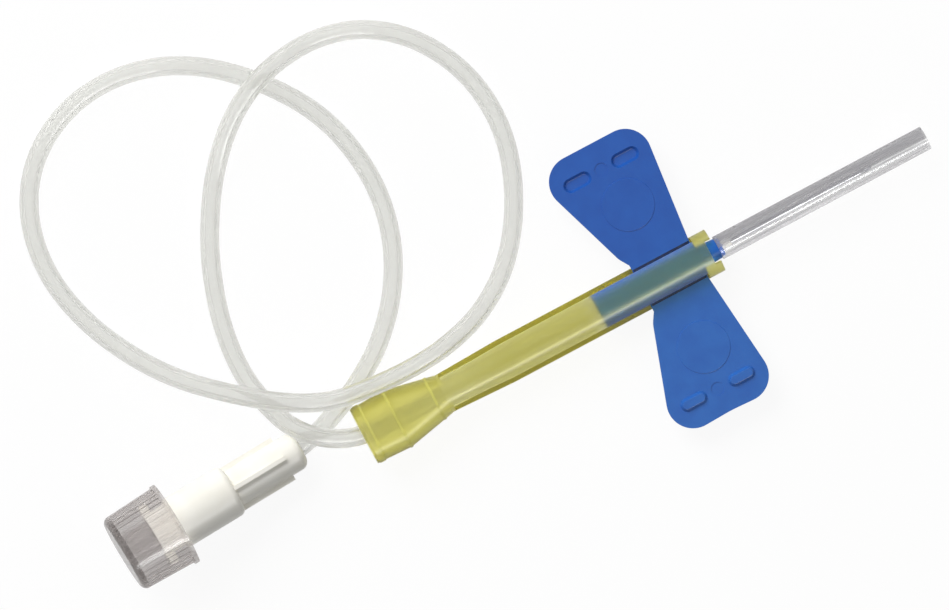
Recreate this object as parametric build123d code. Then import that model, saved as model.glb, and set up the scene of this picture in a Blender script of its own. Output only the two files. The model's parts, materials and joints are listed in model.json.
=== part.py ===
"""Winged safety blood collection set, in millimetres.

+X runs along the needle towards its tip, the wings stand out along Y, and +Z is up. The set lies on z = 0,
and the origin is below the middle of the shield, hub, wings, needle and cover.
"""
from build123d import *
import math
import os

# Needle, 25 gauge
needle_od = 0.515
needle_lumen = 0.26
needle_reach = 19.9
needle_hold = 8.0
bevel_angle = 18.0
adhesive_length = 1.2
adhesive_radius = 0.62
adhesive_tip = 0.1

# Hub: barrel, tapered tail and nose on the needle's axis
nose_face_x = 10.15
spigot_length = 0.5
nose_length = 2.35
nose_radius = 1.37
nose_tip_radius = 1.24
barrel_radius = 1.85
barrel_length = 7.8
tail_length = 5.6
tail_radius = 1.48
tail_round = 0.45
fluid_radius = 0.6
socket_depth = 4.0

# Wings, each on a thin web that bends as a hinge
wing_thickness = 1.0
wing_above_web = 0.3
wing_edge = 0.22
web_thickness = 0.35
web_length = 7.5
web_rear_x = -0.4
hinge_y = 2.2
wing_root_y = 2.4
root_relief_y = 2.82
wing_neck_y = 3.05
wing_span = 17.76
wing_front_corner_x = 8.66
wing_rear_corner_x = -5.68
wing_rear_waist = (-1.16, 4.25)
wing_corner_radius = 3.1
wing_waist_radius = 3.0
wing_dip_x = 2.2
wing_dip_depth = 0.3
wing_dip_radius = 18.0
pad_centre = (2.8, 9.4)
pad_radius = 3.12
pad_rise = 0.08
pad_round = 0.06
stud_xs = (5.1, -1.2)
stud_y = 14.5
stud_length = 3.4
stud_width = 1.6
stud_rise = 0.4
stud_round = 0.15
stud_taper = 38.0
hollow_rim = 0.05
pin_mark = (1.95, 14.5)
pin_mark_radius = 0.8
pin_mark_depth = 0.08

# Safety shield: slotted tube and flattened rear grip
shield_front_x = 9.25
shield_length = 46.4
shield_radius = 2.7
shield_neck_radius = 2.4
shield_taper = 8.2
slot_rear_x = -26.2
slot_top = 1.7
grip_length = 10.5
grip_ridge = 4.4
grip_rear_width = 7.1
grip_wide = 7.4
grip_rear_height = 5.3
grip_high = 5.66
grip_corner = 2.2
grip_wall = 0.6
neck_size = 4.88
neck_corner = 2.3
rim_length = 1.0
rim_out = 0.12
rim_round = 0.45
ridge_out = 0.07
ridge_width = 0.34
neck_line = 9.35
notch_depth = 0.75
notch_width = 2.8

# Needle cover
cover_length = 27.47
cover_radius = 1.46
cover_wall = 0.34

# Tubing, and how much of each run its bends may take up at either end
tubing_od = 2.25
bend_share = 0.45
luer_lead = 1.0

# Luer connector, from its rear end along its own axis
luer_rear = (-44.44, 2.26)
luer_heading = 183.1
luer_thin_radius = 2.3
luer_thin_length = 9.2
luer_rear_round = 1.0
luer_thick_radius = 3.19
luer_thick_length = 8.0
luer_thick_round = 0.3
luer_shoulder_round = 0.75
luer_neck_radius = 2.75
luer_neck_length = 2.7
lug_reach = 3.9
lug_length = 1.0
lug_width = 2.4
fin_start = 2.35
fin_height = 0.56
fin_thickness = 0.5
luer_mouth_radius = 2.135
luer_taper = 0.03
luer_depth = 8.5
luer_socket_depth = 3.5
luer_fins = 4
channel_radius = 0.75

# Luer cap
cap_rim_at = 16.9
cap_length = 7.3
cap_rim_radius = 5.02
cap_end_radius = 4.74
cap_lip_out = 0.2
cap_lip_length = 0.55
cap_end_round = 0.8
cap_wall = 0.9
cap_ribs = 40
cap_rib_depth = 0.12
cap_rib_width = 0.34
plug_depth = 5.5
plug_hollow = 1.15

# Clearances between pieces
glued = 0.015
cover_fit = 0.03
hub_slide = 0.12
slot_gap = 0.15
hinge_gap = 0.03
plug_gap = 0.05

# Values worked out from the sizes above
needle_radius = needle_od / 2
cover_bore = cover_radius - cover_wall
spigot_radius = cover_bore - cover_fit
nose_shoulder_x = nose_face_x - spigot_length
barrel_front_x = nose_shoulder_x - nose_length
barrel_rear_x = barrel_front_x - barrel_length
tail_x = barrel_rear_x - tail_length
needle_rear_x = nose_face_x - needle_hold
needle_tip_x = nose_face_x + needle_reach
socket_end_x = tail_x + socket_depth
web_front_x = web_rear_x + web_length
web_round = web_thickness / 2
shield_rear_x = shield_front_x - shield_length
shield_bore = barrel_radius + hub_slide
neck_x = shield_rear_x + grip_length
ridge_x = shield_rear_x + grip_ridge
slot_front_x = web_front_x + slot_gap
cover_rear_x = nose_shoulder_x + cover_fit
cover_end_x = cover_rear_x + cover_length
tubing_radius = tubing_od / 2
axis_z = grip_high / 2 + ridge_out
middle_x = (shield_rear_x + cover_end_x) / 2

# The connector lies on its fins and on the cap's lip, so its axis rises towards the cap
fin_reach = luer_thin_radius + fin_height
cap_lip_radius = cap_rim_radius + cap_lip_out
luer_pitch = math.degrees(math.atan((cap_lip_radius - fin_reach) / (cap_rim_at - fin_start)))
luer_rise = math.sin(math.radians(luer_pitch))
luer_flat = math.cos(math.radians(luer_pitch))
luer_rear_z = fin_reach * luer_flat - fin_start * luer_rise
luer_mouth_at = luer_thin_length + luer_thick_length + luer_neck_length


def rod(x0, x1, r0, r1=None):
    """A cylinder, or a cone where r1 differs from r0, along X from x0 to x1."""
    r1 = r0 if r1 is None else r1
    profile = Polyline((x0, 0), (x0, r0), (x1, r1), (x1, 0), close=True)
    return revolve(make_face(profile), axis=Axis.X)


def block(x0, x1, y0, y1, z0, z1):
    """A box between two corners."""
    size = Box(x1 - x0, y1 - y0, z1 - z0)
    return Pos((x0 + x1) / 2, (y0 + y1) / 2, (z0 + z1) / 2) * size


def section(x, width, height, corner):
    """A rounded rectangle across X, width along Y and height along Z."""
    return Plane.YZ.offset(x) * RectangleRounded(width, height, corner)


def slab(x0, x1, width, height, corner):
    """A rounded rectangle extruded along X from x0 to x1."""
    return extrude(section(x0, width, height, corner), x1 - x0)


def luer_place():
    """Where the connector's own axis, +X from its rear end, lies in the set."""
    x, y = luer_rear
    return Location((x, y, luer_rear_z)) * Rot(0, 0, luer_heading) * Rot(0, -luer_pitch, 0)


def luer_point(along):
    """A point on the connector's axis, as far from its rear end as along."""
    return (luer_place() * Pos(along, 0, 0)).position


def needle_cannula():
    """Steel tube, ground to a bevel that faces up."""
    tube = rod(needle_rear_x, needle_tip_x, needle_radius)
    tube -= rod(needle_rear_x, needle_tip_x, needle_lumen / 2)
    bevel = needle_od / math.tan(math.radians(bevel_angle))
    ground = Polyline(
        (needle_tip_x, -needle_radius),
        (needle_tip_x - bevel, needle_radius),
        (needle_tip_x - bevel, needle_od),
        (needle_tip_x + needle_od, needle_od),
        (needle_tip_x + needle_od, -needle_radius),
        close=True,
    )
    return tube - extrude(Plane.XZ * make_face(ground), needle_od, both=True)


def needle_adhesive():
    """Cone of adhesive round the needle, on the nose's face."""
    front_x = nose_face_x + adhesive_length
    cone = rod(nose_face_x, front_x, adhesive_radius, needle_radius + adhesive_tip)
    return cone - rod(nose_face_x, front_x, needle_radius + glued)


def wing_hub():
    """Barrel, nose and tail on the needle's axis, with the two webs that carry the wings."""
    tail = rod(tail_x, barrel_rear_x, tail_radius, barrel_radius)
    tail = fillet(tail.edges().group_by(Axis.X)[0], tail_round)
    hub = tail + rod(barrel_rear_x, barrel_front_x, barrel_radius)
    hub += rod(barrel_front_x, nose_shoulder_x, nose_radius, nose_tip_radius)
    hub += rod(nose_shoulder_x, nose_face_x, spigot_radius)
    web_y = hinge_y - web_round - hinge_gap
    hub += block(web_rear_x, web_front_x, -web_y, web_y, -web_round, web_round)
    hub -= rod(tail_x, socket_end_x, tubing_radius + glued)
    hub -= rod(socket_end_x, needle_rear_x, fluid_radius)
    return hub - rod(needle_rear_x, nose_face_x, needle_radius + glued)


def wing_outline(*dips):
    """A +Y wing's flat outline, seen from above, whose end is straight or dips to the points given."""
    outline = Polyline(
        (web_rear_x, wing_root_y),
        (web_front_x, wing_root_y),
        (wing_front_corner_x, wing_span),
        *dips,
        (wing_rear_corner_x, wing_span),
        wing_rear_waist,
        (web_rear_x, wing_neck_y),
        close=True,
    )
    face = make_face(outline)
    face = fillet(face.vertices().group_by(Axis.Y)[-1], wing_corner_radius)
    for point, radius in ((wing_rear_waist, wing_waist_radius), *((dip, wing_dip_radius) for dip in dips)):
        face = fillet(face.vertices().sort_by_distance((*point, 0))[0], radius)
    return face


def wing_blank(outline):
    """A +Y wing without its studs: a plate, cut back below its root, and the strip that it turns on."""
    top = wing_above_web
    bottom = top - wing_thickness
    plate = extrude(Pos(0, 0, bottom) * outline, wing_thickness)
    around = plate.edges().filter_by_position(Axis.Z, bottom, bottom)
    around += plate.edges().filter_by_position(Axis.Z, top, top)
    plate = fillet(around, wing_edge)
    pad = extrude(Pos(*pad_centre, top) * Circle(pad_radius), pad_rise)
    plate += fillet(pad.edges().group_by(Axis.Z)[-1], pad_round)
    mark = Pos(*pin_mark, top) * Circle(pin_mark_radius)
    plate -= extrude(mark, -pin_mark_depth)
    plate -= block(wing_rear_corner_x, wing_front_corner_x, 0, root_relief_y, bottom, -web_round)
    strip_end = wing_root_y + wing_edge + web_round
    strip = block(web_rear_x, web_front_x, hinge_y, strip_end, -web_round, web_round)
    knuckle = Pos(0, hinge_y, 0) * rod(web_rear_x, web_front_x, web_round)
    return plate + strip + knuckle


def stud(grown=0):
    """A long stud that narrows towards its top, or one so much larger all round."""
    base = SlotOverall(stud_length + 2 * grown, stud_width + 2 * grown)
    body = extrude(base, stud_rise, taper=stud_taper)
    return fillet(body.edges().group_by(Axis.Z)[-1], stud_round)


def wing_left():
    """The +Y wing, with two hollows for the other wing's studs."""
    wing = wing_blank(wing_outline())
    for x in stud_xs:
        wing -= Pos(x, stud_y, wing_above_web) * mirror(stud(hollow_rim), about=Plane.XY)
    return wing


def wing_right():
    """The -Y wing, with two studs."""
    wing = wing_blank(wing_outline((wing_dip_x, wing_span - wing_dip_depth)))
    for x in stud_xs:
        wing += Pos(x, stud_y, wing_above_web) * stud()
    return mirror(wing, about=Plane.XZ)


def grip_shell():
    """The grip's outside, from its rear rim to the tube, with its three raised lines."""
    body = loft(
        [
            section(shield_rear_x, grip_rear_width, grip_rear_height, grip_corner),
            section(ridge_x, grip_wide, grip_high, grip_corner),
            section(neck_x, neck_size, neck_size, neck_corner),
        ],
        ruled=True,
    )
    rim_width = grip_rear_width + 2 * rim_out
    rim_height = grip_rear_height + 2 * rim_out
    rim = slab(shield_rear_x, shield_rear_x + rim_length, rim_width, rim_height, grip_corner)
    rim = fillet(rim.edges().group_by(Axis.X)[0], rim_round)
    half = ridge_width / 2
    grown = 2 * ridge_out
    ridge = slab(ridge_x - half, ridge_x + half, grip_wide + grown, grip_high + grown, grip_corner)
    share = (grip_length - neck_line) / (grip_length - grip_ridge)
    line_width = neck_size + share * (grip_wide - neck_size) + grown
    line_height = neck_size + share * (grip_high - neck_size) + grown
    line_x = shield_rear_x + neck_line
    line = slab(line_x - half, line_x + half, line_width, line_height, neck_corner)
    return body + rim + ridge + line


def grip_hollow():
    """The room inside the grip, open at the rear and narrowing to the tube's bore."""
    wall = 2 * grip_wall
    inner_corner = grip_corner - grip_wall
    bore_size = 2 * shield_bore
    return loft(
        [
            section(shield_rear_x, grip_rear_width - wall, grip_rear_height - wall, inner_corner),
            section(ridge_x, grip_wide - wall, grip_high - wall, inner_corner),
            section(neck_x, bore_size, bore_size, shield_bore - glued),
        ],
        ruled=True,
    )


def safety_shield():
    """Slotted tube with a closed front ring, a slight taper behind and a hollow rear grip."""
    shield = grip_shell() + rod(neck_x - grip_wall, neck_x, shield_neck_radius)
    shield += rod(neck_x, neck_x + shield_taper, shield_neck_radius, shield_radius)
    shield += rod(neck_x + shield_taper, shield_front_x, shield_radius)
    shield -= grip_hollow()
    shield -= rod(neck_x - glued, shield_front_x, shield_bore)
    slot_bottom = -web_round - slot_gap
    shield -= block(slot_rear_x, slot_front_x, -grip_wide, grip_wide, slot_bottom, slot_top)
    notch_x = shield_front_x - notch_depth
    notch_half = notch_width / 2
    return shield - block(notch_x, shield_front_x, -notch_half, notch_half, -shield_radius, shield_radius)


def needle_cover():
    """Plain thin tube, open at both ends."""
    return rod(cover_rear_x, cover_end_x, cover_radius) - rod(cover_rear_x, cover_end_x, cover_bore)


def luer_socket_radius(along):
    """The connector's tapered bore at a place on its axis, or the line of that taper past its mouth."""
    return luer_mouth_radius - luer_taper * (luer_mouth_at - along)


def luer_connector():
    """Connector with four fins behind, a thick grip, two lugs and the tapered socket."""
    thin = rod(0, luer_thin_length, luer_thin_radius)
    thin = fillet(thin.edges().group_by(Axis.X)[0], luer_rear_round)
    thick_end = luer_thin_length + luer_thick_length
    thick = rod(luer_thin_length, thick_end, luer_thick_radius)
    thick = fillet(thick.edges().group_by(Axis.X)[-1], luer_thick_round)
    thick = fillet(thick.edges().group_by(Axis.X)[0], luer_shoulder_round)
    body = thin + thick + rod(thick_end, luer_mouth_at, luer_neck_radius)
    half_fin = fin_thickness / 2
    fin = block(fin_start, luer_thin_length + luer_shoulder_round, 0, fin_reach, -half_fin, half_fin)
    for turn in range(luer_fins):
        body += Rot(360 * turn / luer_fins, 0, 0) * fin
    lug_at = luer_mouth_at - lug_length
    half_lug = lug_width / 2
    lugs = block(lug_at, luer_mouth_at, -lug_reach, lug_reach, -half_lug, half_lug)
    body += lugs & rod(lug_at, luer_mouth_at, lug_reach)
    bottom = luer_mouth_at - luer_depth
    body -= rod(bottom, luer_mouth_at, luer_socket_radius(bottom), luer_mouth_radius)
    body -= rod(luer_socket_depth, bottom, channel_radius)
    return body - rod(0, luer_socket_depth, tubing_radius + glued)


def luer_cap():
    """Ribbed cap, open towards the connector, with a hollow tapered plug."""
    end_at = cap_rim_at + cap_length
    shell = rod(cap_rim_at, end_at, cap_rim_radius, cap_end_radius)
    shell = fillet(shell.edges().group_by(Axis.X)[-1], cap_end_round)
    lip_end = cap_rim_at + cap_lip_length
    groove_floor = cap_end_radius - cap_rib_depth
    half_rib = cap_rib_width / 2
    groove = block(lip_end, end_at, groove_floor, cap_lip_radius, -half_rib, half_rib)
    slope = math.degrees(math.atan((cap_rim_radius - cap_end_radius) / cap_length))
    pivot = Pos(end_at, cap_end_radius, 0)
    groove = pivot * Rot(0, 0, -slope) * Pos(-end_at, -cap_end_radius, 0) * groove
    grooves = [Rot(360 * i / cap_ribs, 0, 0) * groove for i in range(cap_ribs)]
    shell -= grooves
    shell += rod(cap_rim_at, lip_end, cap_lip_radius)
    shell -= rod(cap_rim_at, end_at - cap_wall, cap_rim_radius - cap_wall, cap_end_radius - cap_wall)
    plug_tip = luer_mouth_at - plug_depth
    plug_end = end_at - cap_wall
    tip_radius = luer_socket_radius(plug_tip) - plug_gap
    plug = rod(plug_tip, plug_end, tip_radius, luer_socket_radius(plug_end) - plug_gap)
    plug -= rod(plug_tip, plug_end, plug_hollow)
    return shell + plug


# The tubing's route: out of the hub, through the shield, over the connector, round the two loops and back
route = [
    (socket_end_x, 0, axis_z),
    (-13.0, 0, axis_z),
    (-24.0, 0, 2.94),
    (-32.5, -0.1, 3.1),
    (-37.6, 0.1, 3.65),
    (-41.2, 1.8, 4.9),
    (-44.0, 4.7, 5.2),
    (-45.4, 8.2, 3.6),
    (-46.3, 12.1, 2.0),
    (-46.3, 16.1, 1.3),
    (-45.5, 20.9, 1.13),
    (-43.3, 27.3, 1.13),
    (-39.8, 33.4, 1.3),
    (-36.6, 37.2, 2.2),
    (-33.4, 40.0, 3.7),
    (-29.6, 42.2, 4.4),
    (-25.4, 43.5, 3.7),
    (-20.1, 43.9, 2.1),
    (-14.5, 42.3, 1.2),
    (-9.5, 38.0, 1.13),
    (-6.2, 31.3, 1.13),
    (-5.8, 23.7, 1.13),
    (-8.3, 16.4, 1.13),
    (-12.6, 10.2, 1.2),
    (-17.8, 6.5, 2.6),
    (-23.1, 4.85, 4.95),
    (-28.0, 4.4, 5.85),
    (-33.0, 4.6, 6.0),
    (-38.6, 5.3, 6.2),
    (-43.7, 7.95, 6.4),
    (-48.2, 11.5, 6.1),
    (-52.8, 15.6, 4.3),
    (-56.7, 20.7, 2.2),
    (-59.9, 27.2, 1.2),
    (-61.3, 34.4, 1.13),
    (-60.0, 41.5, 1.13),
    (-56.0, 47.2, 1.13),
    (-49.5, 50.6, 1.13),
    (-42.3, 51.0, 1.13),
    (-35.1, 48.5, 1.13),
    (-28.7, 43.0, 1.13),
    (-23.7, 35.5, 1.13),
    (-22.0, 27.2, 1.13),
    (-22.9, 20.0, 1.13),
    (-25.8, 13.9, 1.13),
    (-30.0, 9.1, 1.13),
    (-34.6, 5.95, 1.13),
    (-39.1, 3.9, 1.4),
    luer_point(-luer_lead),
    luer_point(luer_socket_depth),
]


def tubing():
    """The tubing, as straight runs along the route, joined by tangent arcs."""
    points = [Vector(*p) for p in route]
    runs = [b - a for a, b in zip(points, points[1:])]
    turns = [a.get_angle(b) for a, b in zip(runs, runs[1:])]
    shorter = [min(a.length, b.length) for a, b in zip(runs, runs[1:])]
    radii = [bend_share * s / math.tan(math.radians(t / 2)) for s, t in zip(shorter, turns)]
    path = FilletPolyline(*points, radius=radii)
    start = Plane(origin=path @ 0, z_dir=path % 0)
    tube = sweep(start * Circle(tubing_radius), path=path)
    print("tubing radii", [round(r, 1) for r in radii])
    print("tubing turns", [round(t, 1) for t in turns])
    print("tubing runs", [round(r.length, 1) for r in runs])
    print("tubing length", round(path.length, 1), "volume", round(tube.volume, 2))
    print("section times length", round(math.pi * tubing_radius**2 * path.length, 2))
    return tube


def set_parts():
    """Every piece by its name, in its place."""
    on_axis = Pos(-middle_x, 0, axis_z)
    aside = Pos(-middle_x, 0, 0)
    return {
        "needle_cannula": on_axis * needle_cannula(),
        "needle_adhesive": on_axis * needle_adhesive(),
        "wing_hub": on_axis * wing_hub(),
        "wing_left": on_axis * wing_left(),
        "wing_right": on_axis * wing_right(),
        "safety_shield": on_axis * safety_shield(),
        "needle_cover": on_axis * needle_cover(),
        "tubing": aside * tubing(),
        "luer_connector": aside * luer_place() * luer_connector(),
        "luer_cap": aside * luer_place() * luer_cap(),
    }


os.makedirs("parts", exist_ok=True)
for name, solid in set_parts().items():
    export_step(solid, f"parts/{name}.step")
    print(name, "volume", round(solid.volume, 3))
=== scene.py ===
"""Winged safety blood collection set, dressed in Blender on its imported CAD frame.

The frame holds every rigid piece in its place, in metres, with +X along the needle towards its tip and
+Z up. This script makes the flexible tubing and the bending webs of the wings, gives every piece its
finish, and sets up the table, the lamps and the camera that looks straight down on the set.
"""
from __future__ import annotations

import json
import logging
import math
from dataclasses import dataclass
from enum import Enum
from typing import Iterable, Sequence, Union

import bmesh
import bpy
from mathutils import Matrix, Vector

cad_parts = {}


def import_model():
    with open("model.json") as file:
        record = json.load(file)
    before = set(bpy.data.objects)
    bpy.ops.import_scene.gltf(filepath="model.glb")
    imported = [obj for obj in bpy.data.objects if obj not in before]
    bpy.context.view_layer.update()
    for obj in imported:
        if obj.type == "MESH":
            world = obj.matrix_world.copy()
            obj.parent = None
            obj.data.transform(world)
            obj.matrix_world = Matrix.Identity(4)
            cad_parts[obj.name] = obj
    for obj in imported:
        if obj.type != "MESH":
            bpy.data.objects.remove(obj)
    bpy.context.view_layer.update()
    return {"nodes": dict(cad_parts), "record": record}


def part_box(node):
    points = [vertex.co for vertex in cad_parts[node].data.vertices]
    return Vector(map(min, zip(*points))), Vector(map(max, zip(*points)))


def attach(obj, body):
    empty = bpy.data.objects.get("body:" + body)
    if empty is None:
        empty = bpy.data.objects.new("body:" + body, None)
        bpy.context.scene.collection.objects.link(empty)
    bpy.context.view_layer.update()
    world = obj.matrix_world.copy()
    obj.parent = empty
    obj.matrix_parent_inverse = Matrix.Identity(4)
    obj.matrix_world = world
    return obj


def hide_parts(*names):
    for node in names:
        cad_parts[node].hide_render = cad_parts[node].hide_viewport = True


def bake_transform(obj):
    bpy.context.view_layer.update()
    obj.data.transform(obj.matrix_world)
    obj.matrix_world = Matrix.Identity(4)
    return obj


log = logging.getLogger("blood_collection_set")

MM = 0.001
Colour = tuple[float, float, float, float]
Stops = tuple[tuple[float, float], ...]
WHITE: Colour = (1.0, 1.0, 1.0, 1.0)
PLASTIC_BEND = 1.49

# Moulded plastic: clouds and grains to the millimetre, and how much each changes it.
MOULD_CLOUDS = 0.35
MOULD_CLOUD_STOPS: Stops = ((0.35, 0.0), (0.7, 1.0))
MOULD_GRAINS = 9.0
MOULD_GRAIN_SHINE = 0.2
MOULD_SPREAD = 0.15

# Clear plastic: the share of a lamp's light that a surface lets through, its clouds, its streaks, and how
# dull its milk and its raised lines are.
LIGHT_THROUGH = 0.95
CLEAR_CLOUDS = 0.5
TUBING_CLOUDS = 0.3
CLOUD_SHARE = 0.2
STREAK_STOPS: Stops = ((0.45, 0.0), (0.68, 1.0))
MILK_SHINE = 0.35
RIDGE_SHINE = 0.4

# Draw lines change this much more slowly along a piece than round it.
DRAW_STRETCH = 0.008

# How fast the milk changes: behind a place along the axis, to the millimetre, and round the side that
# gets painted shade.
REAR_FADE = 0.4
GRIP_FADE = 0.5
SHADE_SIDE_FADE = 4.0
SHADE_SIDE_START = 0.4


def srgb(red: int, green: int, blue: int) -> Colour:
    """Turns a display colour into the linear colour that shaders use.

    Args:
        red: Red as it shows, 0 to 255.
        green: Green as it shows, 0 to 255.
        blue: Blue as it shows, 0 to 255.

    Returns:
        The same colour in linear light, with full alpha.
    """
    shares = (channel / 255 for channel in (red, green, blue))
    return (*(s / 12.92 if s <= 0.04045 else ((s + 0.055) / 1.055) ** 2.4 for s in shares), 1.0)


class Body(str, Enum):
    """The CAD bodies that this script's own pieces are named with; only the tubing is attached to one,
    the hub.
    """

    HUB = "hub"
    LEFT_WING = "left_wing"
    RIGHT_WING = "right_wing"


class Side(Enum):
    """Which wing a piece belongs to, and the sign of its Y."""

    LEFT = 1
    RIGHT = -1


@dataclass(frozen=True)
class Sock:
    """A node's output that Python's operators do sums with."""

    graph: "Graph"
    out: bpy.types.NodeSocket

    def __add__(self, other: "Feed") -> "Sock":
        """Adds a value to this one."""
        return self.graph.math("ADD", self, other)

    __radd__ = __add__

    def __sub__(self, other: "Feed") -> "Sock":
        """Takes a value from this one."""
        return self.graph.math("SUBTRACT", self, other)

    def __rsub__(self, other: "Feed") -> "Sock":
        """Takes this one from a value."""
        return self.graph.math("SUBTRACT", other, self)

    def __mul__(self, other: "Feed") -> "Sock":
        """Multiplies this one by a value."""
        return self.graph.math("MULTIPLY", self, other)

    def clamp(self) -> "Sock":
        """Keeps this value between 0 and 1."""
        return Sock(self.graph, self.graph.node("ShaderNodeClamp", inputs={0: self}).outputs[0])


Feed = Union[Sock, float, Sequence[float], bpy.types.NodeSocket]


class Graph:
    """The node tree of a material or of the world, where every node comes from one method."""

    def __init__(self, owner: bpy.types.Material | bpy.types.World) -> None:
        """Starts an empty tree.

        Args:
            owner: The material or world that the tree is for.
        """
        self.owner = owner
        self.owner.use_nodes = True
        self.tree = self.owner.node_tree
        self.tree.nodes.clear()

    @classmethod
    def of(cls, name: str) -> "Graph":
        """Starts an empty tree in a new material of that name."""
        return cls(bpy.data.materials.new(name))

    def node(
        self,
        kind: str,
        settings: dict[str, object] | None = None,
        inputs: dict[str | int, Feed] | None = None,
    ) -> bpy.types.Node:
        """Adds a node.

        Args:
            kind: The node's type.
            settings: What is set on the node before its sockets. The key "stops" holds a ramp's stops.
            inputs: Values or links for its sockets, by name or place.

        Returns:
            The new node.
        """
        made = self.tree.nodes.new(kind)
        for key, value in (settings or {}).items():
            if key == "stops":
                self._set_stops(made.color_ramp, value)
            else:
                setattr(made, key, value)
        for key, value in (inputs or {}).items():
            if isinstance(value, Sock):
                self.tree.links.new(value.out, made.inputs[key])
            elif isinstance(value, bpy.types.NodeSocket):
                self.tree.links.new(value, made.inputs[key])
            else:
                made.inputs[key].default_value = value
        return made

    @staticmethod
    def _set_stops(ramp: bpy.types.ColorRamp, stops: Sequence[tuple[float, float]]) -> None:
        """Sets a ramp's stops as grey levels.

        Args:
            ramp: The ramp.
            stops: Pairs of place and level, in order.
        """
        while len(ramp.elements) < len(stops):
            ramp.elements.new(1.0)
        for element, (place, level) in zip(ramp.elements, stops):
            element.position = place
            element.color = (level, level, level, 1.0)

    def math(self, operation: str, *values: Feed) -> Sock:
        """Adds a Math node for one sum.

        Args:
            operation: The sum's name.
            values: What it takes in.

        Returns:
            The result.
        """
        made = self.node("ShaderNodeMath", {"operation": operation}, dict(enumerate(values)))
        return Sock(self, made.outputs[0])

    def vector(self, operation: str, output: str, *values: Feed) -> Sock:
        """Adds a Vector Math node.

        Args:
            operation: The sum's name.
            output: The output that is used, Vector or Value.
            values: What it takes in.

        Returns:
            The result.
        """
        made = self.node("ShaderNodeVectorMath", {"operation": operation}, dict(enumerate(values)))
        return Sock(self, made.outputs[output])

    def place(self) -> Sock:
        """Gives the place on the object in millimetres."""
        coords = self.node("ShaderNodeTexCoord")
        made = self.node(
            "ShaderNodeVectorMath",
            {"operation": "SCALE"},
            {0: coords.outputs["Object"], "Scale": 1 / MM},
        )
        return Sock(self, made.outputs["Vector"])

    def split(self, vector: Sock) -> tuple[Sock, Sock, Sock]:
        """Gives a vector's three parts."""
        made = self.node("ShaderNodeSeparateXYZ", inputs={0: vector})
        return tuple(Sock(self, out) for out in made.outputs)

    def join(self, x: Feed, y: Feed, z: Feed) -> Sock:
        """Makes a vector of three parts."""
        return Sock(self, self.node("ShaderNodeCombineXYZ", inputs={0: x, 1: y, 2: z}).outputs[0])

    def noise(self, vector: Sock, scale: float, detail: float = 3.0, roughness: float = 0.5) -> Sock:
        """Adds smooth noise.

        Args:
            vector: Where it is read, in millimetres.
            scale: How many features to the millimetre.
            detail: How many finer layers it has.
            roughness: How strong the finer layers are.

        Returns:
            The noise, about 0.5 on average.
        """
        inputs = {"Vector": vector, "Scale": scale, "Detail": detail, "Roughness": roughness}
        return Sock(self, self.node("ShaderNodeTexNoise", inputs=inputs).outputs[0])

    def ramp(self, factor: Sock, *stops: tuple[float, float]) -> Sock:
        """Puts a value through a ramp of grey levels."""
        made = self.node("ShaderNodeValToRGB", {"stops": stops}, {0: factor})
        return Sock(self, made.outputs[0])

    def mix(self, factor: Feed, first: Feed, second: Feed) -> Sock:
        """Mixes two colours.

        Args:
            factor: The second colour's share.
            first: The first colour.
            second: The second colour.

        Returns:
            The mixed colour.
        """
        made = self.node("ShaderNodeMix", {"data_type": "RGBA"}, {0: factor, 6: first, 7: second})
        return Sock(self, made.outputs[2])

    def bump(self, height: Sock, depth: float) -> Sock:
        """Turns a height into a normal.

        Args:
            height: The height, 0 to 1.
            depth: What a height of 1 stands for, in millimetres.

        Returns:
            The normal.
        """
        inputs = {"Distance": depth * MM, "Height": height}
        return Sock(self, self.node("ShaderNodeBump", inputs=inputs).outputs[0])

    def facing(self, blend: float) -> Sock:
        """Gives 0 where the surface faces the viewer, up to 1 at its edges."""
        made = self.node("ShaderNodeLayerWeight", inputs={"Blend": blend})
        return Sock(self, made.outputs["Facing"])

    def seen(self) -> Sock:
        """Gives 1 where the camera sees the surface, also in a mirror or through clear plastic."""
        path = self.node("ShaderNodeLightPath")
        camera, mirror, clear = (
            Sock(self, path.outputs[f"Is {kind} Ray"]) for kind in ("Camera", "Glossy", "Transmission")
        )
        return (camera + mirror + clear).clamp()

    def principled(self, **inputs: Feed) -> bpy.types.NodeSocket:
        """Adds a Principled shader.

        Args:
            inputs: Its sockets by name, with _ for each space.

        Returns:
            The shader.
        """
        named = {key.replace("_", " "): value for key, value in inputs.items()}
        return self.node("ShaderNodeBsdfPrincipled", inputs=named).outputs[0]

    def blend(
        self, factor: Feed, first: bpy.types.NodeSocket, second: bpy.types.NodeSocket
    ) -> bpy.types.NodeSocket:
        """Mixes two shaders.

        Args:
            factor: The second shader's share.
            first: The first shader.
            second: The second shader.

        Returns:
            The mixed shader.
        """
        return self.node("ShaderNodeMixShader", inputs={0: factor, 1: first, 2: second}).outputs[0]

    def finish(
        self, shader: bpy.types.NodeSocket, inside: bpy.types.NodeSocket | None = None
    ) -> bpy.types.Material:
        """Ends the tree with its shader.

        Args:
            shader: The surface's shader.
            inside: The shader of what the surface encloses, if light passes through it.

        Returns:
            The material.
        """
        inputs = {"Surface": shader}
        if inside is not None:
            inputs["Volume"] = inside
        self.node("ShaderNodeOutputMaterial", inputs=inputs)
        return self.owner


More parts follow.
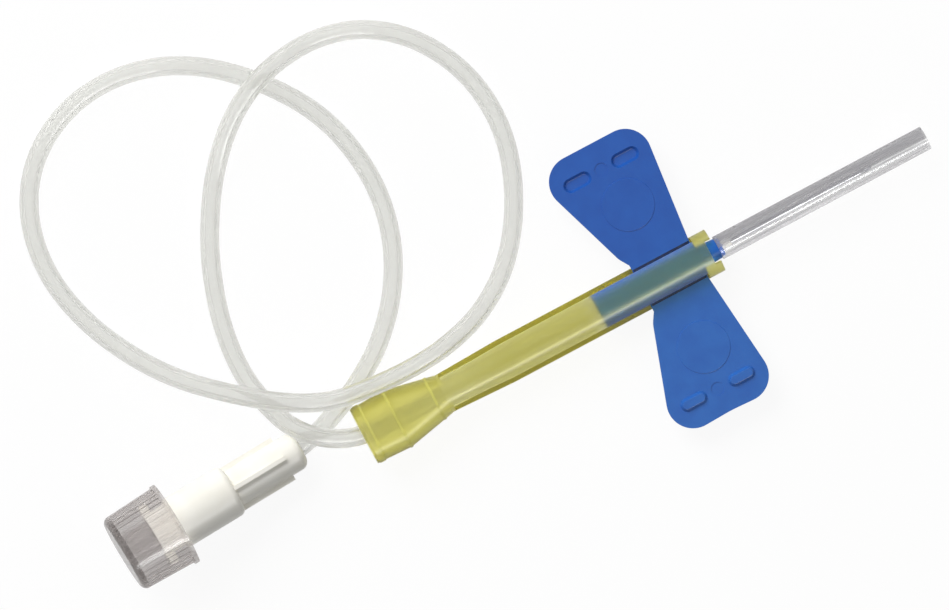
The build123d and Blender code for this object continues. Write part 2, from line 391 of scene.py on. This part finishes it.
@dataclass(frozen=True)
class Axis:
    """A straight axis that a round piece is built on.

    Attributes:
        origin: A point on it, in millimetres.
        along: Its direction.
    """

    origin: Vector
    along: Vector

    def side(self) -> Vector:
        """A level direction square to the axis."""
        return Vector((0, 0, 1)).cross(self.along).normalized()

    def up(self) -> Vector:
        """The direction square to both."""
        return self.along.cross(self.side())

    def at(self, distance: float) -> Vector:
        """The point so many millimetres along it."""
        return self.origin + self.along * distance

    def turn(self, graph: Graph, place: Sock) -> tuple[Sock, Sock]:
        """Reads a place as one on the round piece.

        Args:
            graph: The tree that the nodes go into.
            place: The place in millimetres.

        Returns:
            The distance along the axis, and the angle round it.
        """
        out = graph.vector("SUBTRACT", "Vector", place, self.origin)
        ways = (self.along, self.side(), self.up())
        along, side, up = (graph.vector("DOT_PRODUCT", "Value", out, way) for way in ways)
        return along, graph.math("ARCTAN2", up, side)


@dataclass(frozen=True)
class Moulded:
    """Opaque moulded plastic with a faint cloud in its colour and a fine grain.

    Attributes:
        name: The material's name.
        colour: Its main colour.
        cloud: Its colour where it is a little thinner.
        roughness: How dull it is, 0 to 1.
        grain: The grain's depth in millimetres.
        glow: How far light spreads in it, in millimetres.
        gloss: How strongly it mirrors, where 0.5 is plain plastic.
    """

    name: str
    colour: Colour
    cloud: Colour
    roughness: float
    grain: float
    glow: float
    gloss: float = 0.5

    def make(self) -> bpy.types.Material:
        """Builds the material."""
        graph = Graph.of(self.name)
        place = graph.place()
        patches = graph.ramp(graph.noise(place, MOULD_CLOUDS), *MOULD_CLOUD_STOPS)
        fine = graph.noise(place, MOULD_GRAINS, roughness=0.6)
        colour = graph.mix(patches, self.colour, self.cloud)
        roughness = self.roughness + (fine - 0.5) * MOULD_GRAIN_SHINE
        shader = graph.principled(
            Base_Color=colour,
            Roughness=roughness,
            Normal=graph.bump(fine, self.grain),
            IOR=PLASTIC_BEND,
            Specular_IOR_Level=self.gloss,
            Subsurface_Weight=MOULD_SPREAD,
            Subsurface_Radius=(1.0, 1.0, 1.0),
            Subsurface_Scale=self.glow * MM,
        )
        return graph.finish(shader)


@dataclass(frozen=True)
class Steel:
    """Drawn and polished steel tube.

    Attributes:
        name: The material's name.
        axis: The tube's axis.
        dark: Its colour in a line.
        light: Its colour beside one.
        shine: How dull it is, 0 to 1.
        line_shine: How much duller a line is.
        line_depth: How deep the lines are, in millimetres.
        lines: How often they change along the tube, to the millimetre, and round it, to the radian.
    """

    name: str
    axis: Axis
    dark: Colour = srgb(196, 196, 200)
    light: Colour = srgb(226, 226, 230)
    shine: float = 0.16
    line_shine: float = 0.16
    line_depth: float = 0.004
    lines: tuple[float, float] = (0.4, 6.0)

    def make(self) -> bpy.types.Material:
        """Builds the material, with fine lines along the draw."""
        graph = Graph.of(self.name)
        along, angle = self.axis.turn(graph, graph.place())
        drawn = graph.noise(graph.join(along * self.lines[0], angle * self.lines[1], 0.0), 1.0)
        shader = graph.principled(
            Base_Color=graph.mix(drawn, self.dark, self.light),
            Metallic=1.0,
            Roughness=self.shine + drawn * self.line_shine,
            Normal=graph.bump(drawn, self.line_depth),
        )
        return graph.finish(shader)


@dataclass(frozen=True)
class Translucent:
    """Clear or coloured plastic: light passes straight through it and takes on its colour on the way.

    Attributes:
        name: The material's name.
        keep: The colour that white light is left with after a millimetre of it.
        milk: Its own colour where it scatters light.
        glow: The share of the scattered light that comes out on the far side of a wall.
        haze: The milk's share where the surface faces the viewer.
        edge_haze: The milk's share at its edges.
        shine: How dull its surface is, 0 to 1.
        lines: How many draw lines there are round it.
        line_depth: How deep those are, in millimetres.
        line_haze: How much milk they add.
        rear_end: Where along the axis its milkier rear ends, or None without one.
        rear_haze: The milk that is added there.
        rear_tone: The colour that the rear's surface takes from the light.
        grip_end: Where a duller grip ends, behind which the rear's milk stops.
        grip_shine: How dull the grip is.
        grip_haze: The milk that is added on the grip.
        shade_side_haze: Milk that is added as painted shade on the side that the axis has on its left.
        ridges: Where along the axis its raised lines are.
        ridge_width: How wide those are, in millimetres.
        ridge_painted_highlight: The painted highlight colour laid along their crests.
        ridge_highlight_share: How much of that painted highlight shows on them.
    """

    name: str
    keep: Colour
    milk: Colour
    glow: float
    haze: float
    edge_haze: float
    shine: float
    lines: float
    line_depth: float
    line_haze: float
    rear_end: float | None = None
    rear_haze: float = 0.0
    rear_tone: Colour = WHITE
    grip_end: float = 0.0
    grip_shine: float = 0.0
    grip_haze: float = 0.0
    shade_side_haze: float = 0.0
    ridges: tuple[float, ...] = ()
    ridge_width: float = 0.5
    ridge_painted_highlight: Colour = WHITE
    ridge_highlight_share: float = 0.0

    def make(self, axis: Axis) -> bpy.types.Material:
        """Builds the material for a round piece.

        Args:
            axis: The axis that its draw lines follow.

        Returns:
            The material.
        """
        graph = Graph.of(self.name)
        place = graph.place()
        along, angle = axis.turn(graph, place)
        drawn = self.drawn(graph, along, angle)
        cloud = graph.noise(place, CLEAR_CLOUDS)
        shine, added, tone, raised = self.shine, 0.0, WHITE, None
        if self.rear_end is not None:
            rear = ((self.rear_end - along) * REAR_FADE).clamp()
            grip = ((self.grip_end - along) * GRIP_FADE).clamp()
            shine = grip * (self.grip_shine - self.shine) + self.shine
            added = rear * (1 - grip) * self.rear_haze + grip * self.grip_haze
            tone = graph.mix(rear, WHITE, self.rear_tone)
        if self.shade_side_haze:
            # Painted shade: milk added on the side that the axis has on its left, so that side shows
            # greyer.
            left = (graph.math("COSINE", angle) * SHADE_SIDE_FADE + SHADE_SIDE_START).clamp()
            added = left * self.shade_side_haze + added
        for ridge in self.ridges:
            near = (1 - graph.math("ABSOLUTE", along - ridge) * (2 / self.ridge_width)).clamp()
            raised = near if raised is None else raised + near
        return self.surface(graph, drawn, cloud, shine, added, tone, raised)

    def drawn(self, graph: Graph, along: Sock, angle: Sock) -> Sock:
        """Gives the height of the lines that run along a drawn piece.

        Args:
            graph: The material's tree.
            along: The distance along the piece, in millimetres.
            angle: The angle round it.

        Returns:
            The height, about 0.5 on average.
        """
        cosine, sine = (graph.math(operation, angle) for operation in ("COSINE", "SINE"))
        return graph.noise(graph.join(along * DRAW_STRETCH, cosine, sine), self.lines, roughness=0.6)

    def surface(
        self,
        graph: Graph,
        drawn: Sock,
        cloud: Sock,
        shine: Feed,
        added: Feed = 0.0,
        tone: Feed = WHITE,
        raised: Sock | None = None,
    ) -> bpy.types.Material:
        """Builds the surface and what it encloses.

        Args:
            graph: The material's tree.
            drawn: The draw lines' height.
            cloud: Slow changes over the surface.
            shine: How dull the surface is.
            added: Milk that is added to the plain share.
            tone: The colour that the surface takes from the light.
            raised: 1 on the crest of a raised line, down to 0 beside it.

        Returns:
            The material.
        """
        streak = graph.ramp(drawn, *STREAK_STOPS)
        away = graph.facing(0.5)
        haze = self.haze + away * away * (self.edge_haze - self.haze) + streak * self.line_haze + added
        normal = graph.bump(drawn, self.line_depth)
        clear = graph.principled(
            Base_Color=tone,
            Roughness=shine,
            IOR=PLASTIC_BEND,
            Transmission_Weight=1.0,
            Normal=normal,
        )
        lit = graph.principled(
            Base_Color=self.milk, Roughness=MILK_SHINE, IOR=PLASTIC_BEND, Normal=normal
        )
        glowing = graph.node("ShaderNodeBsdfTranslucent", inputs={"Color": self.milk}).outputs[0]
        milky = graph.blend(self.glow, lit, glowing)
        solid = graph.blend((haze + (cloud - 0.5) * CLOUD_SHARE * self.haze).clamp(), clear, milky)
        if raised is not None:
            # Painted highlight: a lighter colour mixed in along the raised lines' crests.
            crest = graph.principled(
                Base_Color=self.ridge_painted_highlight, Roughness=RIDGE_SHINE, IOR=PLASTIC_BEND
            )
            solid = graph.blend(raised * self.ridge_highlight_share, solid, crest)
        through = graph.node("ShaderNodeBsdfTransparent").outputs[0]
        path = graph.node("ShaderNodeLightPath")
        lit_through = Sock(graph, path.outputs["Is Shadow Ray"]) * LIGHT_THROUGH
        return graph.finish(graph.blend(lit_through, solid, through), self.inside(graph))

    def inside(self, graph: Graph) -> bpy.types.NodeSocket:
        """Builds what gives light its colour inside the plastic.

        Args:
            graph: The material's tree.

        Returns:
            The shader of the inside.
        """
        losses = [-math.log(channel) / MM for channel in self.keep[:3]]
        most = max(losses)
        colour = (*(1 - loss / most for loss in losses), 1.0)
        inputs = {"Color": colour, "Density": most}
        return graph.node("ShaderNodeVolumeAbsorption", inputs=inputs).outputs[0]


@dataclass(frozen=True)
class Table:
    """The white table top, which keeps the set's soft shadow.

    Attributes:
        name: The material's name.
        colour: Its colour as it is seen.
        bounce: Its colour where its light falls back on the set.
        lift: The share that shows white whatever falls on it.
        shine: How dull it is at least, 0 to 1.
        patch_shine: How much duller its patches are.
        patches: How many patches it has to the millimetre.
    """

    name: str
    colour: Colour
    bounce: Colour
    lift: float
    shine: float = 0.75
    patch_shine: float = 0.1
    patches: float = 0.05

    def make(self) -> bpy.types.Material:
        """Builds the material."""
        graph = Graph.of(self.name)
        patchy = graph.noise(graph.place(), self.patches, detail=2.0)
        roughness = self.shine + patchy * self.patch_shine
        top = graph.principled(Base_Color=self.colour, Roughness=roughness)
        dull = graph.principled(Base_Color=self.bounce, Roughness=roughness)
        white = graph.node("ShaderNodeEmission", inputs={"Color": WHITE}).outputs[0]
        return graph.finish(graph.blend(graph.seen(), dull, graph.blend(self.lift, top, white)))


def dress(piece: bpy.types.Object, material: bpy.types.Material) -> None:
    """Gives a piece one material.

    Args:
        piece: The piece.
        material: What it is made of.
    """
    piece.data.materials.clear()
    piece.data.materials.append(material)


def new_piece(name: str, mesh: bpy.types.Mesh) -> bpy.types.Object:
    """Links a mesh into the scene as a piece.

    Args:
        name: The piece's name.
        mesh: Its mesh.

    Returns:
        The piece.
    """
    piece = bpy.data.objects.new(name, mesh)
    bpy.context.scene.collection.objects.link(piece)
    return piece


def mesh_from(name: str, bm: bmesh.types.BMesh) -> bpy.types.Mesh:
    """Turns a bmesh into a mesh that is shaded smooth.

    Args:
        name: The mesh's name.
        bm: The bmesh, which is freed.

    Returns:
        The mesh.
    """
    for face in bm.faces:
        face.smooth = True
    mesh = bpy.data.meshes.new(name)
    bm.to_mesh(mesh)
    bm.free()
    return mesh


@dataclass
class NeedleUnit:
    """Steel needle, its adhesive and the clear cover over it.

    Attributes:
        nodes: The frame's pieces by name.
        axis: The needle's axis.
    """

    nodes: dict[str, bpy.types.Object]
    axis: Axis

    def build(self) -> None:
        """Dresses the three pieces."""
        dress(self.nodes["needle_cannula"], Steel("drawn_steel", self.axis).make())
        glue = Moulded(
            name="cured_adhesive",
            colour=srgb(254, 251, 244),
            cloud=srgb(246, 241, 230),
            roughness=0.25,
            grain=0.002,
            glow=0.6,
        )
        dress(self.nodes["needle_adhesive"], glue.make())
        cover = Translucent(
            name="clear_cover",
            keep=(0.9, 0.9, 0.9, 1.0),
            milk=srgb(176, 175, 178),
            glow=0.6,
            haze=0.05,
            edge_haze=0.25,
            shine=0.06,
            lines=9.0,
            line_depth=0.005,
            line_haze=0.32,
            # Painted shade: the cover's side towards the axis's left is made greyer.
            shade_side_haze=0.34,
        )
        dress(self.nodes["needle_cover"], cover.make(self.axis))
        log.info("needle, adhesive and cover dressed")


@dataclass
class WingedHub:
    """Blue hub with its two wings and the thin webs between them, which stay fixed and do not follow the
    wings.

    Attributes:
        nodes: The frame's pieces by name.
        web_x: Where a web starts and ends along the needle, in millimetres.
        web_y: How far from the axis it starts and ends.
        bend_y: How far from the axis its bend starts and ends; not used.
        web_thickness: How thick it is.
        web_steps: How many strips it is made of.
        arc_steps: How many steps its round edges have.
    """

    nodes: dict[str, bpy.types.Object]
    web_x: tuple[float, float] = (-0.41, 7.11)
    web_y: tuple[float, float] = (1.8, 2.7)
    bend_y: tuple[float, float] = (1.98, 2.42)
    web_thickness: float = 0.37
    web_steps: int = 16
    arc_steps: int = 6

    def build(self) -> None:
        """Dresses hub and wings, and adds a bending web on each side."""
        satin = {"roughness": 0.36, "grain": 0.006, "glow": 0.25}
        thin = {"roughness": 0.4, "grain": 0.004, "glow": 0.1}
        blue = Moulded("hub_blue_plastic", srgb(40, 104, 198), srgb(36, 98, 190), gloss=0.2, **satin)
        # Painted light and shade: both wings are one plastic, but the left wing is painted a darker blue
        # and the right wing a lighter blue.
        near = Moulded("wing_blue_painted_shade", srgb(34, 91, 178), srgb(31, 85, 171), **satin)
        far = Moulded("wing_blue_painted_light", srgb(46, 106, 188), srgb(41, 98, 181), **satin)
        # Painted shade: the webs are painted a much darker blue than the wings, standing in for the shade
        # in the groove between shield and wing.
        painted_shade_web = Moulded("web_blue_painted_shade", srgb(20, 40, 84), srgb(17, 35, 76), **thin)
        for name, finish in (("wing_hub", blue), ("wing_left", near), ("wing_right", far)):
            dress(self.nodes[name], finish.make())
        web_painted_shade_finish = painted_shade_web.make()
        for side, body in ((Side.LEFT, Body.LEFT_WING), (Side.RIGHT, Body.RIGHT_WING)):
            web = self.web(side)
            dress(web, web_painted_shade_finish)
            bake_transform(web)
            log.info("%s added", web.name)

    @staticmethod
    def axis_height() -> float:
        """The needle axis's height above the table, in millimetres."""
        low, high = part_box("needle_cannula")
        return (low.z + high.z) / 2 / MM

    def web(self, side: Side) -> bpy.types.Object:
        """Makes one thin web with a round edge front and rear.

        Args:
            side: The wing that it carries.

        Returns:
            The web.
        """
        height = self.axis_height()
        half = self.web_thickness / 2
        x0, x1 = self.web_x
        outline = []
        for centre, start in ((x1 - half, -90), (x0 + half, 90)):
            for step in range(self.arc_steps + 1):
                angle = math.radians(start + 180 * step / self.arc_steps)
                outline.append((centre + half * math.cos(angle), height + half * math.sin(angle)))
        y0, y1 = self.web_y
        bm = bmesh.new()
        rings = []
        for step in range(self.web_steps + 1):
            y = side.value * (y0 + (y1 - y0) * step / self.web_steps)
            rings.append([bm.verts.new((x * MM, y * MM, z * MM)) for x, z in outline])
        for near, far in zip(rings, rings[1:]):
            for i in range(len(outline)):
                j = (i + 1) % len(outline)
                bm.faces.new((near[i], near[j], far[j], far[i]))
        bm.faces.new(rings[0])
        bm.faces.new(reversed(rings[-1]))
        bmesh.ops.recalc_face_normals(bm, faces=bm.faces)
        name = f"bending_web_{side.name.lower()}"
        return new_piece(name, mesh_from(name, bm))


@dataclass
class Shield:
    """Translucent safety shield.

    Attributes:
        nodes: The frame's pieces by name.
        axis: The needle's axis, which the shield's tube goes round.
    """

    nodes: dict[str, bpy.types.Object]
    axis: Axis

    def build(self) -> None:
        """Dresses the shield."""
        shell = Translucent(
            name="yellow_shield",
            keep=(0.79, 0.77, 0.38, 1.0),
            milk=srgb(200, 194, 72),
            glow=0.45,
            haze=0.015,
            edge_haze=0.4,
            shine=0.28,
            lines=3.0,
            line_depth=0.006,
            line_haze=0.03,
            rear_end=-5.5,
            rear_haze=0.12,
            rear_tone=(0.985, 0.975, 0.75, 1.0),
            grip_end=-26.0,
            grip_shine=0.35,
            grip_haze=0.05,
            ridges=(-27.8, -32.75, -36.0),
            # Painted highlight along the grip's raised lines.
            ridge_painted_highlight=srgb(224, 222, 132),
            ridge_highlight_share=0.4,
        )
        dress(self.nodes["safety_shield"], shell.make(self.axis))
        log.info("shield dressed")


@dataclass
class TubingRun:
    """The flexible tubing from the hub to the connector.

    All lengths are in millimetres.

    Attributes:
        luer: The connector's axis.
        outside: Its outside radius.
        inside: Its lumen's radius.
        length: Its whole length; not used.
        hub_socket_x: Where it starts in the hub's socket.
        exit_x: Where it leaves the hub's tail; not used.
        axis_z: The height of its centre there.
        luer_lead: How far before the connector its last bend ends.
        luer_socket: How far it goes into the connector.
        sides: How many sides its rings have.
        table_z: The height of its centre where it lies on the table.
    """

    luer: Axis
    outside: float = 1.125
    inside: float = 0.6
    length: float = 309.5
    hub_socket_x: float = -2.1
    exit_x: float = -6.1
    axis_z: float = 2.9
    luer_lead: float = 1.0
    luer_socket: float = 3.5
    sides: int = 28
    table_z: float = 1.13

    def route(self) -> list[tuple[float, float, float]]:
        """The route's points in millimetres, as the part's source has them."""
        low = self.table_z
        return [
            (self.hub_socket_x, 0, self.axis_z),
            (-13.0, 0, self.axis_z),
            (-24.0, 0, 2.94),
            (-32.5, -0.1, 3.1),
            (-37.6, 0.1, 3.65),
            (-41.2, 1.8, 4.9),
            (-44.0, 4.7, 5.2),
            (-45.4, 8.2, 3.6),
            (-46.3, 12.1, 2.0),
            (-46.3, 16.1, 1.3),
            (-45.5, 20.9, low),
            (-43.3, 27.3, low),
            (-39.8, 33.4, 1.3),
            (-36.6, 37.2, 2.2),
            (-33.4, 40.0, 3.7),
            (-29.6, 42.2, 4.4),
            (-25.4, 43.5, 3.7),
            (-20.1, 43.9, 2.1),
            (-14.5, 42.3, 1.2),
            (-9.5, 38.0, low),
            (-6.2, 31.3, low),
            (-5.8, 23.7, low),
            (-8.3, 16.4, low),
            (-12.6, 10.2, 1.2),
            (-17.8, 6.5, 2.6),
            (-23.1, 4.85, 4.95),
            (-28.0, 4.4, 5.85),
            (-33.0, 4.6, 6.0),
            (-38.6, 5.3, 6.2),
            (-43.7, 7.95, 6.4),
            (-48.2, 11.5, 6.1),
            (-52.8, 15.6, 4.3),
            (-56.7, 20.7, 2.2),
            (-59.9, 27.2, 1.2),
            (-61.3, 34.4, low),
            (-60.0, 41.5, low),
            (-56.0, 47.2, low),
            (-49.5, 50.6, low),
            (-42.3, 51.0, low),
            (-35.1, 48.5, low),
            (-28.7, 43.0, low),
            (-23.7, 35.5, low),
            (-22.0, 27.2, low),
            (-22.9, 20.0, low),
            (-25.8, 13.9, low),
            (-30.0, 9.1, low),
            (-34.6, 5.95, low),
            (-39.1, 3.9, 1.4),
            tuple(self.luer.at(-self.luer_lead)),
            tuple(self.luer.at(self.luer_socket)),
        ]

    def centreline(self) -> list[Vector]:
        """Follows the smooth curve that the route's points pull along.

        Returns:
            Points on it in metres.
        """
        points = self.route()
        curve = bpy.data.curves.new("tubing_line", "CURVE")
        curve.dimensions = "3D"
        curve.resolution_u = 10
        spline = curve.splines.new("NURBS")
        spline.points.add(len(points) - 1)
        for point, place in zip(spline.points, points):
            point.co = (*(value * MM for value in place), 1.0)
        spline.order_u = 3
        spline.use_endpoint_u = True
        line = bpy.data.objects.new("tubing_line", curve)
        mesh = bpy.data.meshes.new_from_object(line)
        path = [vertex.co.copy() for vertex in mesh.vertices]
        bpy.data.objects.remove(line)
        bpy.data.curves.remove(curve)
        bpy.data.meshes.remove(mesh)
        return path

    def tube(self, path: Sequence[Vector]) -> bpy.types.Mesh:
        """Sweeps a ring of plastic, with its lumen, along a path.

        Args:
            path: The centreline in metres.

        Returns:
            The tube's mesh, with how far round and along each corner is as its UV.
        """
        bm = bmesh.new()
        uv = bm.loops.layers.uv.new("UVMap")
        lengths = [0.0]
        for a, b in zip(path, path[1:]):
            lengths.append(lengths[-1] + (b - a).length / MM)
        walls = self.rings(bm, path)
        for radius, rings in walls.items():
            for k, (near, far) in enumerate(zip(rings, rings[1:])):
                for i in range(self.sides):
                    j = (i + 1) % self.sides
                    spots = {
                        near[i]: (i, k),
                        far[i]: (i, k + 1),
                        far[j]: (i + 1, k + 1),
                        near[j]: (i + 1, k),
                    }
                    corners = tuple(spots)
                    face = bm.faces.new(corners if radius == self.outside else corners[::-1])
                    for loop in face.loops:
                        around, at = spots[loop.vert]
                        loop[uv].uv = (around / self.sides, lengths[at])
        for end in (0, -1):
            outer, inner = walls[self.outside][end], walls[self.inside][end]
            for i in range(self.sides):
                j = (i + 1) % self.sides
                corners = (outer[i], outer[j], inner[j], inner[i])
                bm.faces.new(corners if end == 0 else corners[::-1])
        bmesh.ops.recalc_face_normals(bm, faces=bm.faces)
        return mesh_from("clear_tubing", bm)

    def rings(
        self, bm: bmesh.types.BMesh, path: Sequence[Vector]
    ) -> dict[float, list[list[bmesh.types.BMVert]]]:
        """Places the rings of corners that the tube's two walls go through.

        Args:
            bm: The mesh that they go into.
            path: The centreline in metres.

        Returns:
            The rings of each wall, by its radius in millimetres.
        """
        ways = [(b - a).normalized() for a, b in zip(path, path[1:])]
        ways = [ways[0], *((a + b).normalized() for a, b in zip(ways, ways[1:])), ways[-1]]
        angles = [2 * math.pi * i / self.sides for i in range(self.sides)]
        up = Vector((0, 0, 1))
        walls: dict[float, list[list[bmesh.types.BMVert]]] = {self.outside: [], self.inside: []}
        for place, way in zip(path, ways):
            up = (up - way * up.dot(way)).normalized()
            across = way.cross(up)
            outs = [across * math.cos(angle) + up * math.sin(angle) for angle in angles]
            for radius, rings in walls.items():
                rings.append([bm.verts.new(place + out * radius * MM) for out in outs])
        return walls

    def build(self) -> None:
        path = self.centreline()
        tubing = new_piece("clear_tubing", self.tube(path))
        dress(tubing, self.finish())
        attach(tubing, Body.HUB.value)
        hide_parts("tubing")
        log.info("tubing made, %d points along it", len(path))

    @staticmethod
    def finish() -> bpy.types.Material:
        """Builds soft clear plastic, a little milky, with faint draw lines along the tubing."""
        plastic = Translucent(
            name="soft_clear_tubing",
            keep=(0.94, 0.94, 0.93, 1.0),
            milk=srgb(229, 229, 225),
            glow=0.65,
            haze=0.26,
            edge_haze=0.6,
            shine=0.15,
            lines=2.0,
            line_depth=0.002,
            line_haze=0.0,
        )
        graph = Graph.of(plastic.name)
        spot = graph.node("ShaderNodeUVMap", {"uv_map": "UVMap"})
        around, along, _ = graph.split(Sock(graph, spot.outputs[0]))
        drawn = plastic.drawn(graph, along, around * (2 * math.pi))
        cloud = graph.noise(graph.place(), TUBING_CLOUDS)
        return plastic.surface(graph, drawn, cloud, plastic.shine)


@dataclass
class LuerEnd:
    """White connector and its clear ribbed cap.

    Attributes:
        nodes: The frame's pieces by name.
        axis: The connector's axis.
    """

    nodes: dict[str, bpy.types.Object]
    axis: Axis

    def build(self) -> None:
        """Dresses connector and cap."""
        white = Moulded(
            name="luer_white_plastic",
            colour=srgb(250, 248, 240),
            cloud=srgb(246, 243, 233),
            roughness=0.38,
            grain=0.004,
            glow=0.5,
        )
        dress(self.nodes["luer_connector"], white.make())
        cap = Translucent(
            name="clear_cap",
            keep=(0.82, 0.81, 0.805, 1.0),
            milk=srgb(212, 206, 204),
            glow=0.5,
            haze=0.15,
            edge_haze=0.4,
            shine=0.12,
            lines=7.0,
            line_depth=0.02,
            line_haze=0.2,
        )
        dress(self.nodes["luer_cap"], cap.make(self.axis))
        log.info("connector and cap dressed")


@dataclass(frozen=True)
class Lamp:
    """A rectangular lamp that points at the set.

    Attributes:
        name: Its name.
        heading: Where it is, in degrees anticlockwise from the picture's right.
        height: Its angle above the table, in degrees.
        away: Its distance from the set, in metres.
        long: Its length, in metres.
        wide: Its width, in metres.
        share: How brightly it lights the table, where 1 makes white look white.
        glints: Whether it is for glints only, where the other lamps give none.
    """

    name: str
    heading: float
    height: float
    away: float
    long: float
    wide: float
    share: float
    glints: bool


@dataclass
class Studio:
    """White table, soft daylight, a large lamp and a narrow one, and the camera overhead.

    Attributes:
        centre: The place on the table that the middle of the picture shows, in millimetres.
        turn: How far the picture is turned from the set's own axes, in degrees.
        width: What the picture's width shows at the table, in millimetres.
        distance: The camera's height, in millimetres.
        sensor: The width of the camera's sensor, in millimetres.
        table_size: How wide the table top is, in metres.
        table_drop: How far below the set it lies, in millimetres.
        daylight: How bright the room's plain light is.
        lamps: The lamps that hang in it.
    """

    centre: tuple[float, float] = (-18.55, 7.49)
    turn: float = -28.0
    width: float = 111.6
    distance: float = 500.0
    sensor: float = 36.0
    table_size: float = 8.0
    table_drop: float = 0.02
    daylight: float = 0.3
    lamps: tuple[Lamp, ...] = (
        Lamp("large_lamp", 130.0, 42.0, 0.7, 0.45, 0.45, 0.64, glints=False),
        Lamp("strip_lamp", -62.0, 41.0, 0.7, 0.6, 0.16, 0.36, glints=True),
    )

    def build(self) -> None:
        """Builds table, light and camera."""
        self.table()
        self.world()
        for lamp in self.lamps:
            self.lamp(lamp)
        self.camera()
        view = bpy.context.scene.view_settings
        view.view_transform = "Standard"

    def table(self) -> None:
        """Lays the table top just below the set."""
        bm = bmesh.new()
        bmesh.ops.create_grid(bm, x_segments=4, y_segments=4, size=self.table_size / 2)
        top = new_piece("table_top", mesh_from("table_top", bm))
        top.location.z = -self.table_drop * MM
        finish = Table(name="white_table", colour=WHITE, bounce=srgb(180, 180, 180), lift=0.92)
        dress(top, finish.make())

    def world(self) -> None:
        """Fills the room with plain soft light, and shows it white."""
        world = bpy.data.worlds.new("soft_daylight")
        graph = Graph(world)
        dim, white = (
            graph.node("ShaderNodeBackground", inputs={"Color": WHITE, "Strength": strength}).outputs[0]
            for strength in (self.daylight, 1.0)
        )
        graph.node("ShaderNodeOutputWorld", inputs={"Surface": graph.blend(graph.seen(), dim, white)})
        bpy.context.scene.world = world

    def lamp(self, plan: Lamp) -> None:
        """Hangs one lamp.

        Args:
            plan: What it is like, and where it hangs.
        """
        light = bpy.data.lights.new(plan.name, "AREA")
        light.shape = "RECTANGLE"
        light.size = plan.long
        light.size_y = plan.wide
        rise = math.radians(plan.height)
        # At a share of 1, a white table is lit so that it shows just white.
        light.energy = plan.share * math.pi**2 * plan.away**2 / math.sin(rise)
        lamp = bpy.data.objects.new(plan.name, light)
        bpy.context.scene.collection.objects.link(lamp)
        angle = math.radians(plan.heading + self.turn)
        level = math.cos(rise)
        out = Vector((math.cos(angle) * level, math.sin(angle) * level, math.sin(rise)))
        target = Vector((*self.centre, 0.0)) * MM
        lamp.location = target + out * plan.away
        lamp.rotation_euler = (-out).to_track_quat("-Z", "Y").to_euler()
        lamp.visible_camera = False
        lamp.visible_glossy = plan.glints
        lamp.visible_transmission = plan.glints
        lamp.visible_diffuse = not plan.glints

    def camera(self) -> None:
        """Puts the camera straight above, turned as the photograph is."""
        data = bpy.data.cameras.new("overhead_camera")
        data.sensor_width = self.sensor
        data.lens = self.sensor * self.distance / self.width
        camera = bpy.data.objects.new("overhead_camera", data)
        bpy.context.scene.collection.objects.link(camera)
        camera.location = Vector((*self.centre, self.distance)) * MM
        camera.rotation_euler = (0.0, 0.0, math.radians(self.turn))
        bpy.context.scene.camera = camera


def luer_axis(record: dict) -> Axis:
    """Finds the connector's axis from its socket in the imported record.

    Args:
        record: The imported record.

    Returns:
        The axis, from the connector's rear end towards its mouth.
    """
    rear_to_mouth = 19.9
    mount = next(m for m in record["mounts"] if m["name"] == "luer_socket")
    along = Vector(mount["axis"]).normalized()
    return Axis(Vector(mount["pos_m"]) / MM - along * rear_to_mouth, along)


def main() -> None:
    """Builds the whole scene in order."""
    logging.basicConfig(level=logging.INFO, format="%(name)s: %(message)s")
    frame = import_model()
    nodes = frame["nodes"]
    needle_axis = Axis(Vector((0.0, 0.0, WingedHub.axis_height())), Vector((1.0, 0.0, 0.0)))
    luer = luer_axis(frame["record"])
    Studio().build()
    TubingRun(luer).build()
    NeedleUnit(nodes, needle_axis).build()
    WingedHub(nodes).build()
    Shield(nodes, needle_axis).build()
    LuerEnd(nodes, luer).build()


if __name__ == "__main__":
    main()
